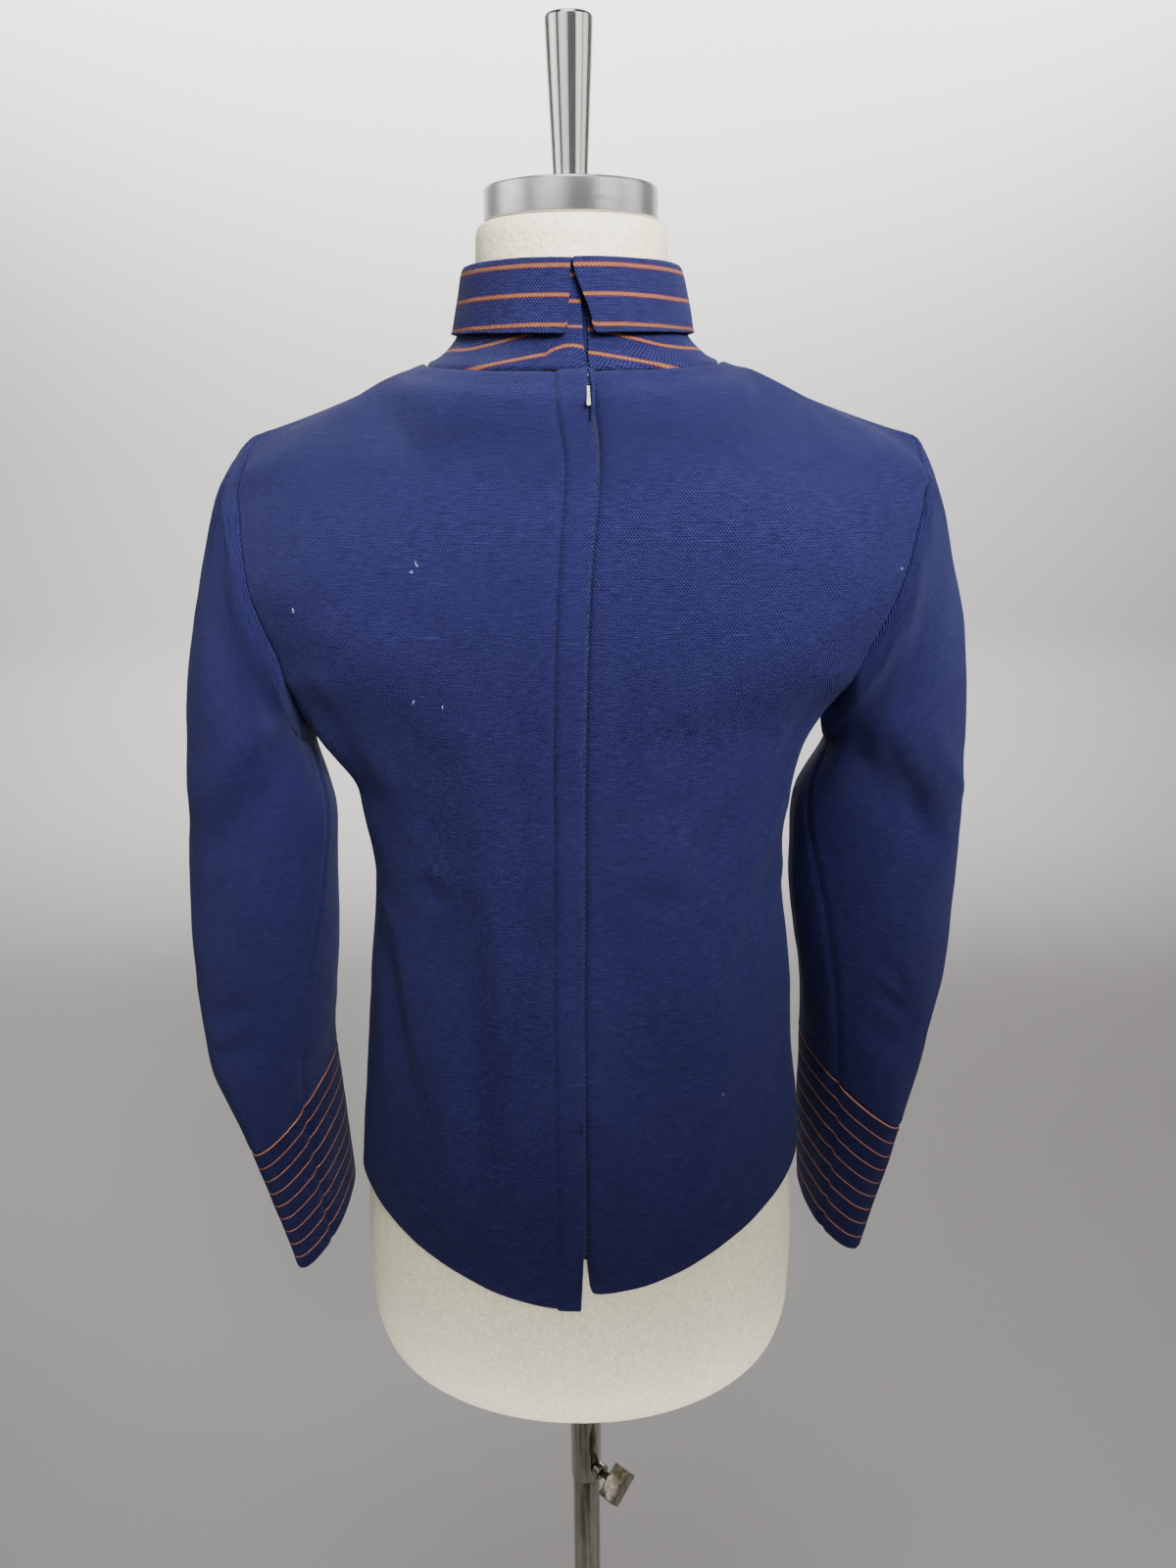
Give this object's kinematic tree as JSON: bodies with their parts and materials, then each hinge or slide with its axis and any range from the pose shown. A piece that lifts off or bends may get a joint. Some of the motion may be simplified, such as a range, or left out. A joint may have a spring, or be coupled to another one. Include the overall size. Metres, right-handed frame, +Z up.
{
  "type": "mock neck blouse on a dress form",
  "caption": "Long-sleeved blouse with a turned-down mock neck and a zipped back, worn on a limbless dress form that stands on a telescopic pole and a round base.",
  "frame": {"origin": "on the floor, under the middle of the stand's base", "axes": "+Z up, the blouse's front faces -Y and its zipped back +Y, the wearer's left is +X"},
  "size_m": [0.5156, 0.36, 1.5948],
  "materials": {
    "knit": "navy wool double knit, matt",
    "striped_knit": "navy double knit with narrow rust stripes",
    "zip_tape": "navy woven tape",
    "jersey": "off-white felted jersey",
    "chrome": "polished",
    "steel": "brushed round its rim",
    "painted_steel": "satin grey"
  },
  "bodies": {
    "stand": {"stand_base": "painted_steel", "stand_pole": "chrome"},
    "column": {"form_tube": "chrome"},
    "form": {"dress_form": "jersey", "neck_cap": "steel", "finial": "chrome", "front": "knit", "back_left": "knit", "back_right": "knit", "sleeve_left": "knit", "sleeve_right": "knit", "cuff_left": "striped_knit", "cuff_right": "striped_knit", "collar": "striped_knit", "zip_tape": "zip_tape", "zip_slider": "chrome"},
    "clamp": {"clamp_screw": "chrome"},
    "pull_tab": {"zip_pull_tab": "chrome"}
  },
  "joints": [
    {"name": "height", "type": "slide", "parent": "stand", "child": "column", "axis": [0, 0, 1], "range_m": [0, 0.11]},
    {"name": "form_swivel", "type": "hinge", "parent": "column", "child": "form", "pos_m": [0, 0, 0.7], "axis": [0, 0, 1], "continuous": true},
    {"name": "clamp_turn", "type": "hinge", "parent": "column", "child": "clamp", "pos_m": [-0.00778, 0.00778, 0.564], "axis": [-0.7071, 0.7071, 0], "continuous": true},
    {"name": "pull_tab_swing", "type": "hinge", "parent": "form", "child": "pull_tab", "pos_m": [-0.00874, 0.07807, 1.40664], "axis": [0.9944, 0.0642, -0.0838], "range_deg": [0, 100]}
  ]
}
